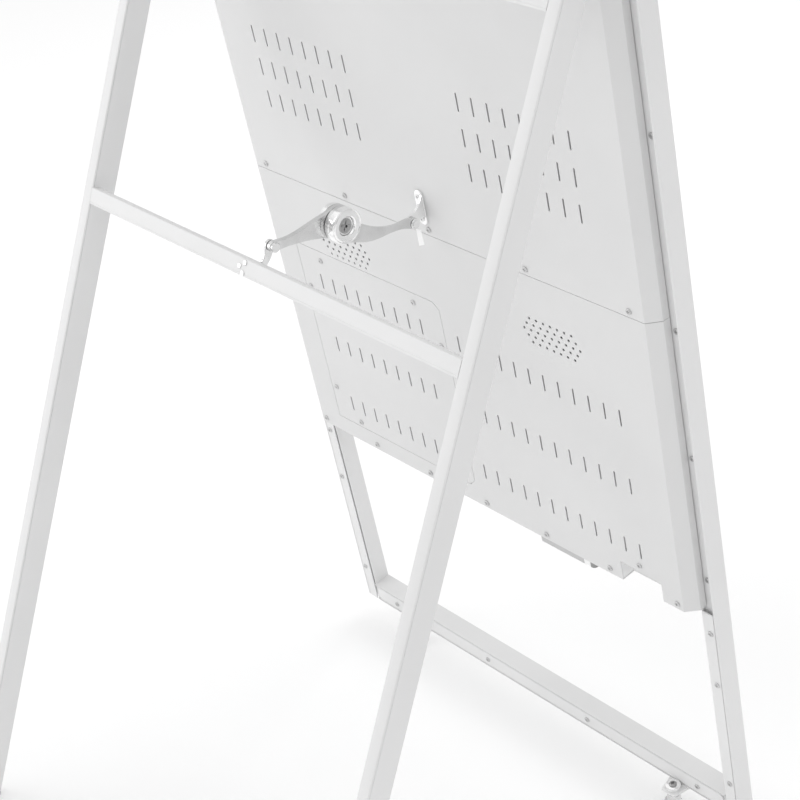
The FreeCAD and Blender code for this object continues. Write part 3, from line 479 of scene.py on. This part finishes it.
# ----------------------------------------------------------------------- the stay
def arm_outline(length, upper, lower, end_radius):
    """An arm seen from the side: a round hub, two curved edges and a round far end."""
    start = math.degrees(math.atan2(upper[0][1], upper[0][0]))
    stop = math.degrees(math.atan2(lower[0][1], lower[0][0])) + 360
    line = arc((0, 0), math.hypot(*upper[0]), start, stop)
    line += spline(lower + [(length, -end_radius)])
    line += arc((length, 0), end_radius, -90, 90)
    line += spline(upper + [(length, end_radius)])[::-1]
    return line


def stay_arms():
    """Both arms, drawn from the hub outwards: (along, up) points on their two edges."""
    edge_over = [(16.5, 5.0), (25.5, 0.2), (41.4, -2.8), (55.8, -3.2), (69.7, -1.2), (83, 3.8)]
    edge_under = [(2.0, -17.1), (20, -18.0), (38, -17.4), (51.6, -14.2), (64.5, -9.4), (79, -5.6)]
    outline = arm_outline(UPPER_ARM, edge_over, edge_under, ARM_END)
    mesh = prism([(-up, UPPER_ARM - along) for along, up in outline], *UPPER_ARM_X, "X", UPPER)
    arm = piece("stay_upper_arm_form", mesh, CHROME, "stay_upper", ["stay_upper_arm"])
    rounded(arm, 1.1, 4)
    edge_over = [(8.0, 15.2), (14.8, 13.2), (25.3, 11.2), (35.8, 8.6), (48, 5.8), (62, 4.3)]
    edge_under = [(12.0, -12.4), (21.8, -9.2), (32.3, -7.2), (44.5, -5.8), (60, -4.6)]
    outline = arm_outline(LOWER_ARM, edge_over, edge_under, ARM_END)
    mesh = prism([(-up, along) for along, up in outline], *LOWER_ARM_X, "X", LOWER)
    arm = piece("stay_lower_arm_form", mesh, CHROME, "stay_lower", ["stay_lower_arm"])
    rounded(arm, 1.1, 4)


def stay_hub():
    """Drum with a seam, a bright ring and a dish, its crossed bolt, and the cap behind."""
    centre = (0, UPPER_ARM)
    mesh = turned([
        (-5, 0), (-5, 17.0), (-5.4, 17.5), (-6.3, 17.5), (-6.8, 16.9), (-7.3, 17.5), (-11.6, 17.5),
        (-12.4, 17.3), (-12.9, 16.6), (-12.6, 16.1), (-12.2, 15.8), (-12.5, 15.3), (-13, 14.2),
        (-13, 10.6), (-12.7, 9.8), (-12.0, 9.2), (-10.2, 8.5), (-10, 8.2), (-10, 0),
    ], centre, "X", UPPER)
    smooth(piece("stay_hub_drum", mesh, POLISHED, "stay_upper", ["stay_hub_front"]), 20)
    mesh = turned([
        (-10.9, 0), (-10.9, 6.6), (-10.5, 7.4), (-10, 7.4), (-10, 5), (11.5, 5), (11.9, 4.6), (11.9, 0),
    ], centre, "X", UPPER)
    for wide, high in ((5.2, 1.1), (1.1, 5.2)):
        wing = rounded_box(-wide, UPPER_ARM - high, wide, UPPER_ARM + high, 0.5)
        add_prism(mesh, wing, -11.6, -10.9, "X", UPPER)
    nodes = ["stay_hub_spindle"]
    smooth(piece("stay_hub_bolt", mesh, DARK_STEEL, "stay_upper", nodes), 25)
    mesh = turned([
        (5.4, 0), (5.4, 17.1), (7.0, 17.1), (7.3, 16.8), (7.6, 17.1), (10.2, 17.1), (10.8, 16.6),
        (11, 15.8), (11, 0),
    ], (0, 0), "X", LOWER)
    nodes = ["stay_hub_back"]
    smooth(piece("stay_hub_back_cap", mesh, POLISHED, "stay_lower", nodes), 20)


def stay_bracket():
    """Round-ended plate on the cover and the ear that carries the stay's pivot."""
    top = arc((PLATE_X, STAY_Z + 18.5), PLATE_HALF, 0, 180)
    bottom = arc((PLATE_X, STAY_Z - 9.5), PLATE_HALF, 180, 360)
    mesh = prism(top + bottom, 0, PLATE_THICK, "Y", DISPLAY)
    nodes = ["stay_cover_bracket"]
    rounded(piece("stay_plate", mesh, POLISHED, "display", nodes), 0.8)
    root_low = (EAR_ROOT, STAY_Z - 6)
    root_high = (EAR_ROOT, STAY_Z + 20)
    low = spline([root_low, (5, STAY_Z - 3), (12, STAY_Z - 4), (STAY_Y, STAY_Z - EAR_END)])
    high = spline([(STAY_Y, STAY_Z + EAR_END), (13, STAY_Z + 8), (6, STAY_Z + 14), root_high])
    ear = [root_low] + low + arc((STAY_Y, STAY_Z), EAR_END, -90, 90) + high + [root_high]
    mesh = prism(ear, *EAR_X, "X", DISPLAY)
    rounded(piece("stay_ear", mesh, POLISHED, "display"), 0.8)


def stay_pins():
    """The hexagon-headed bolt at the cover, the tag beside it and the pin at the crossbar."""
    pivot = (STAY_Y, STAY_Z)
    mesh = turned([
        (-6.6, 0), (-6.6, 4.9), (-6.2, 5.2), (-5.4, 5.2), (-5.4, 3), (3.8, 3), (4.1, 2.7), (4.1, 0),
    ], pivot, "X", DISPLAY)
    add_prism(mesh, hexagon(pivot, 4.2), -7.8, -6.6, "X", DISPLAY)
    smooth(piece("stay_cover_bolt", mesh, POLISHED, "display", ["stay_cover_pin"]), 25)
    tag = [(-8, STAY_Z - 25), (-7.4, STAY_Z - 8.5), (-0.2, STAY_Z - 8), (0.4, STAY_Z - 29)]
    mesh = prism(tag, TAG_FRONT, TAG_FRONT + TAG_THICK, "Y", DISPLAY)
    rounded(piece("stay_tag_form", mesh, TAG, "display", ["stay_tag"]), 0.2)
    mesh = turned([
        (-2.4, 0), (-2.4, 4.2), (-1.8, 4.8), (0, 4.8), (0, 3), (5.3, 3), (5.6, 2.7), (5.6, 0),
    ], (0, LOWER_ARM), "X", LOWER)
    smooth(piece("stay_tail_bolt", mesh, CHROME, "stay_lower", ["stay_tail_pin"]), 25)


def crossbar_lug():
    """Curved finger that carries the lower arm's pivot on the crossbar, and its plate."""
    back = LEG_DEEP / 2 - BAR_DEEP
    front = back - LUG_FOOT
    foot = -BAR_DROP - BAR_FACE + 1
    rise = [(back, foot), (back, -BAR_DROP + 1), (back - 1, -BAR_DROP + 5), (ARM_END - 1, -TAIL_DROP)]
    fall = [(-ARM_END - 1, -TAIL_DROP), (-5.2, -BAR_DROP + 6), (-2.4, -BAR_DROP - 2), (front, foot)]
    outline = [rise[0]] + spline(rise) + arc((-TAIL_FRONT, -TAIL_DROP), ARM_END, 0, 180)
    outline += spline(fall) + [fall[-1]]
    nodes = ["stay_crossbar_bracket"]
    mesh = prism(outline, *LUG_X, "X", REAR)
    rounded(piece("stay_crossbar_lug", mesh, CHROME, "rear_frame", nodes), 0.9)
    face = rounded_box(LUG_X[0], foot, LUG_WIDE, -BAR_DROP - 1, 2.4)
    mesh = prism(face, front, back, "Y", REAR)
    rounded(piece("stay_crossbar_plate", mesh, CHROME, "rear_frame"), 0.4)


# ----------------------------------------------------------------------- rear frame
def rear_legs():
    """Each leg is a tube with a seam by its rear edge, a cap and a boot cut level."""
    leg_end = PIVOT.z / MM / math.cos(LEAN) - BOOT
    slope = math.tan(LEAN) * LEG_DEEP / 2
    front, back = -LEG_DEEP / 2, LEG_DEEP / 2
    for name, side in SIDES:
        x0 = side * LEG_X - LEG_WIDE / 2
        x1 = side * LEG_X + LEG_WIDE / 2
        section = rounded_box(x0, front, x1, back, 1.3)
        for face in (x0, x1):
            section = grooved(section, face, back - LEG_SEAM, 0.8, 0.45)
        mesh = prism(section, -leg_end, LEG_RISE, "Z", REAR)
        tube = piece("leg_tube_" + name, mesh, WHITE, "rear_frame", ["rear_leg_" + name])
        smooth(tube, 25)
        mesh = prism(rounded_box(x0, front, x1, back, 1.6), LEG_RISE, LEG_RISE + CAP_THICK, "Z", REAR)
        cap = piece("leg_top_" + name, mesh, CAP, "rear_frame", ["leg_cap_" + name])
        rounded(cap, 0.6)
        low = -leg_end - BOOT
        sole = [(back, -leg_end), (front, -leg_end), (front, low + slope), (back, low - slope)]
        mesh = prism(sole, x0, x1, "X", REAR)
        nodes = ["rear_foot_" + name]
        boot = piece("leg_boot_" + name, mesh, PALE_RUBBER, "rear_frame", nodes)
        rounded(boot, 0.8)


def rear_bars():
    """The crossbar and the top bar, flush with the legs' backs, each with a fine seam."""
    half = LEG_X - LEG_WIDE / 2
    back = LEG_DEEP / 2
    for name, drop in (("rear_crossbar", BAR_DROP), ("rear_top_bar", TOP_BAR_DROP)):
        low = -drop - BAR_FACE
        outline = rounded_box(back - BAR_DEEP, low, back, -drop, 0.9)
        section = grooved(outline, back, low + BAR_SEAM, 0.3, 0.25)
        mesh = prism(section, -half, half, "X", REAR)
        smooth(piece(name + "_tube", mesh, WHITE, "rear_frame", [name]), 25)


# ---------------------------------------------------------------------- front frame
def stiles():
    """Upright profiles, with a groove along the back behind a recessed inner lip."""
    for name, side in SIDES:
        inner = side * (FRAME_HALF - STILE_FACE)
        outer = side * FRAME_HALF
        inner_wall = inner + side * WALL
        outer_wall = outer - side * WALL
        section = [
            (inner, FRAME_FRONT), (outer, FRAME_FRONT), (outer, FRAME_BACK), (outer_wall, FRAME_BACK),
            (outer_wall, GROOVE_FLOOR), (inner_wall, GROOVE_FLOOR), (inner_wall, LIP_BACK),
            (inner, LIP_BACK),
        ]
        mesh = prism(section, 0, FRAME_LONG, "Z", DISPLAY)
        stile = piece("stile_profile_" + name, mesh, WHITE, "display", ["stile_" + name])
        rounded(stile, 0.4, 2)


def strips():
    """Closing strips, with the fine gap that each leaves round its edge."""
    for name, side in SIDES:
        inner = side * (FRAME_HALF - STRIP_INNER + STRIP_GAP)
        outer = side * (FRAME_HALF - WALL - STRIP_GAP)
        near, far = sorted((inner, outer))
        mesh = prism(rounded_box(near, 0, far, STRIP_TOP, 0.6), STRIP_FRONT, FRAME_BACK, "Y", DISPLAY)
        nodes = ["stile_strip_" + name]
        rounded(piece("stile_cover_" + name, mesh, WHITE, "display", nodes), 0.3)
    margin = RAIL_STRIP_MARGIN + STRIP_GAP
    half = FRAME_HALF - STILE_FACE - margin
    outline = rounded_box(-half, margin, half, RAIL_STRIP_TOP - STRIP_GAP, 6)
    mesh = prism(outline, STRIP_FRONT, FRAME_BACK, "Y", DISPLAY)
    rounded(piece("rail_cover", mesh, WHITE, "display", ["bottom_rail_strip"]), 0.3)


def port_strip():
    """Port block: a long grey strip, a pale label and a dark rounded end."""
    outer, inner = span_across("port_block")
    radius = PORT_DEEP / 2
    label_start = outer + PORT_END
    label_end = label_start + PORT_LABEL
    corners = [(label_start, 0), (label_start, -PORT_DEEP)]
    dark_end = corners[:1] + arc((outer + radius, -radius), radius, 90, 270) + corners[1:]
    label = [(label_start, 0), (label_end, 0), (label_end, -PORT_DEEP), (label_start, -PORT_DEEP)]
    strip = [(label_end, -PORT_DEEP)] + arc((inner - radius, -radius), radius, -90, 90) + [(label_end, 0)]
    bottom = COVER_BOTTOM - PORT_HIGH
    for name, outline, material in (
        ("strip", strip, PORT), ("label", label, INLET_WHITE), ("end", dark_end, DARK_PORT),
    ):
        mesh = prism(outline, bottom, COVER_BOTTOM, "Z", DISPLAY)
        nodes = ["port_block"] if name == "strip" else []
        rounded(piece("port_" + name, mesh, material, "display", nodes), 0.6)
    for index in range(SOCKET_COUNT):
        start = label_end + SOCKET_MARGIN + SOCKET_STEP * index
        socket = rounded_box(start, SOCKET_FRONT, start + SOCKET_LONG, SOCKET_BACK, 0.8)
        mesh = prism(socket, bottom - 0.15, bottom + 0.1, "Z", DISPLAY)
        smooth(piece(f"port_socket_{index}", mesh, BLACK, "display"))


# ------------------------------------------------------------------- levelling feet
def foot_bracket(name, x):
    """Tapered plate under the rail and the knurled nut that stands on it."""
    right = [(x + half, y) for half, y in FOOT_PLATE_EDGE]
    left = [(x - half, y) for half, y in FOOT_PLATE_EDGE]
    plate = left[:1] + right + left[:0:-1]
    mesh = prism(plate, -FOOT_PLATE, 0, "Z", DISPLAY)
    nodes = ["foot_bracket_" + name]
    rounded(piece("foot_plate_" + name, mesh, WHITE, "display", nodes), 0.8)
    mesh = turned([
        (0, 0), (0, 8.0), (0.5, 8.4), (4.0, 8.4), (NUT_TOP, 7.9), (NUT_TOP, 4.4), (4.2, 4.1), (4.2, 0),
    ], (x, -FOOT_Y), "Z", DISPLAY, segments=96, ripple=0.16, teeth=24)
    smooth(piece("foot_nut_" + name, mesh, POLISHED, "display"), 35)


def foot_screw(name, x):
    """Threaded stud from the pad's ball to just above the nut, with a socket in its end."""
    profile = [(-BALL_DROP, 0), (-BALL_DROP, THREAD_ROOT)]
    for turn in range(THREAD_TURNS):
        along = -BALL_DROP + 1 + THREAD_PITCH * turn
        profile += [(along, THREAD_ROOT), (along + THREAD_PITCH / 2, THREAD_CREST)]
    profile += [(5.9, 3.8), (6.6, 3.2), (6.6, 2.0), (NUT_TOP, 2.0), (NUT_TOP, 0)]
    mesh = turned(profile, (x, -FOOT_Y), "Z", DISPLAY)
    nodes = ["foot_stud_" + name]
    smooth(piece("foot_screw_" + name, mesh, DARK_STEEL, "foot_" + name, nodes), 25)


def foot_pad(name, x):
    """Plated cup round the ball, upright on the floor, with a rubber sole."""
    centre = DISPLAY @ (Vector((x, -FOOT_Y, -BALL_DROP)) * MM)
    upright = Matrix.Translation(centre)
    body = "foot_" + name
    low = -centre.z / MM
    mesh = turned([
        (low + SOLE_THICK, 0), (low + SOLE_THICK, 9.9), (low + 2.0, 10), (low + 5.0, 10), (low + 6.0, 9.2),
        (low + 6.6, 7.8), (-1.2, 7.4), (0.0, 6.8), (0.4, 5.6), (0.4, 0),
    ], (0, 0), "Z", upright)
    smooth(piece("foot_cup_" + name, mesh, CHROME, body, ["foot_pad_" + name]), 25)
    mesh = turned([
        (low, 0), (low, 9.2), (low + 0.4, 9.7), (low + SOLE_THICK, 9.7), (low + SOLE_THICK, 0),
    ], (0, 0), "Z", upright)
    smooth(piece("foot_pad_rubber_" + name, mesh, RUBBER, body), 25)


def feet():
    """A bracket, a screw and a pad under each end of the bottom rail."""
    for name, side in SIDES:
        foot_bracket(name, side * FOOT_X)
        foot_screw(name, side * FOOT_X)
        foot_pad(name, side * FOOT_X)


# ------------------------------------------------------------------ floor and light
FLOOR_HALF = 14.0
SKY_STRENGTH = 0.94
HORIZON = (0.50, 0.50, 0.505)
OVERHEAD = 1.12

# Each soft light: its place, what it points at, its two sides in metres and its watts.
LIGHTS = {
    "key": ((1.2, 3.2, 3.4), (0, 0, 0.6), (2.6, 2.6), 12),
    "side": ((1.9, 1.6, 0.9), (0, 0, 0.6), (1.2, 1.2), 9),
    "front": ((0.6, -3.2, 2.4), (0, 0, 0.7), (2.4, 2.0), 24),
}

# The camera that was fitted to the photograph, in metres, millimetres and degrees.
EYE = Vector((-1.310, 1.1237, 1.3125))
AIM = Vector((0.0, -0.0565, 0.4755))
LENS = 88.2
SENSOR = 36.0
ROLL = 1.19


def studio():
    """A wide pale floor, and the plain view transform."""
    mesh = bpy.data.meshes.new("studio_floor")
    grid = bmesh.new()
    bmesh.ops.create_grid(grid, x_segments=2, y_segments=2, size=FLOOR_HALF)
    grid.to_mesh(mesh)
    grid.free()
    floor = bpy.data.objects.new("studio_floor", mesh)
    bpy.context.scene.collection.objects.link(floor)
    m = Nodes("studio_floor")
    m.colour(m.ramp(m.noise(0.6), [(0.3, grey(0.96)), (0.7, grey(0.97))]))
    m.set(Roughness=0.7, Specular_IOR_Level=0.15)
    floor.data.materials.append(m.material)
    bpy.context.scene.view_settings.view_transform = "Standard"


def sky():
    """A world that is white to the camera and lights from above more than from the sides."""
    world = bpy.data.worlds.new("studio_world")
    bpy.context.scene.world = world
    world.use_nodes = True
    tree = world.node_tree
    background = tree.nodes["Background"]
    background.inputs["Strength"].default_value = SKY_STRENGTH
    place = tree.nodes.new("ShaderNodeTexCoord")
    split = tree.nodes.new("ShaderNodeSeparateXYZ")
    ramp = tree.nodes.new("ShaderNodeValToRGB")
    horizon, overhead = ramp.color_ramp.elements
    horizon.position = 0.0
    horizon.color = (*HORIZON, 1)
    overhead.position = 0.75
    overhead.color = (*grey(OVERHEAD), 1)
    white = tree.nodes.new("ShaderNodeBackground")
    white.inputs["Color"].default_value = (1, 1, 1, 1)
    paths = tree.nodes.new("ShaderNodeLightPath")
    mix = tree.nodes.new("ShaderNodeMixShader")
    tree.links.new(place.outputs["Generated"], split.inputs["Vector"])
    tree.links.new(split.outputs["Z"], ramp.inputs["Fac"])
    tree.links.new(ramp.outputs["Color"], background.inputs["Color"])
    tree.links.new(paths.outputs["Is Camera Ray"], mix.inputs["Fac"])
    tree.links.new(background.outputs["Background"], mix.inputs[1])
    tree.links.new(white.outputs["Background"], mix.inputs[2])
    tree.links.new(mix.outputs["Shader"], tree.nodes["World Output"].inputs["Surface"])


def soft_light(name, place, aim, size, power):
    """A rectangular area light that points at a spot."""
    data = bpy.data.lights.new(name, "AREA")
    data.shape = "RECTANGLE"
    data.size, data.size_y = size
    data.energy = power
    item = bpy.data.objects.new(name, data)
    item.location = place
    item.rotation_euler = (Vector(aim) - Vector(place)).to_track_quat("-Z", "Y").to_euler()
    bpy.context.scene.collection.objects.link(item)


def camera():
    """Behind the board and above it, looking down at the stay and the lower covers."""
    data = bpy.data.cameras.new("camera")
    data.lens = LENS
    data.sensor_width = SENSOR
    data.clip_start = 0.05
    data.clip_end = 100.0
    item = bpy.data.objects.new("camera", data)
    turn = (AIM - EYE).to_track_quat("-Z", "Y").to_matrix().to_4x4()
    roll = Matrix.Rotation(math.radians(ROLL), 4, "Z")
    item.matrix_world = Matrix.Translation(EYE) @ turn @ roll
    bpy.context.scene.collection.objects.link(item)
    bpy.context.scene.camera = item


paint_frame()
stay_arms()
stay_hub()
stay_bracket()
stay_pins()
crossbar_lug()
rear_legs()
rear_bars()
stiles()
strips()
port_strip()
feet()
studio()
sky()
for light_name, light_setting in LIGHTS.items():
    soft_light(light_name, *light_setting)
camera()
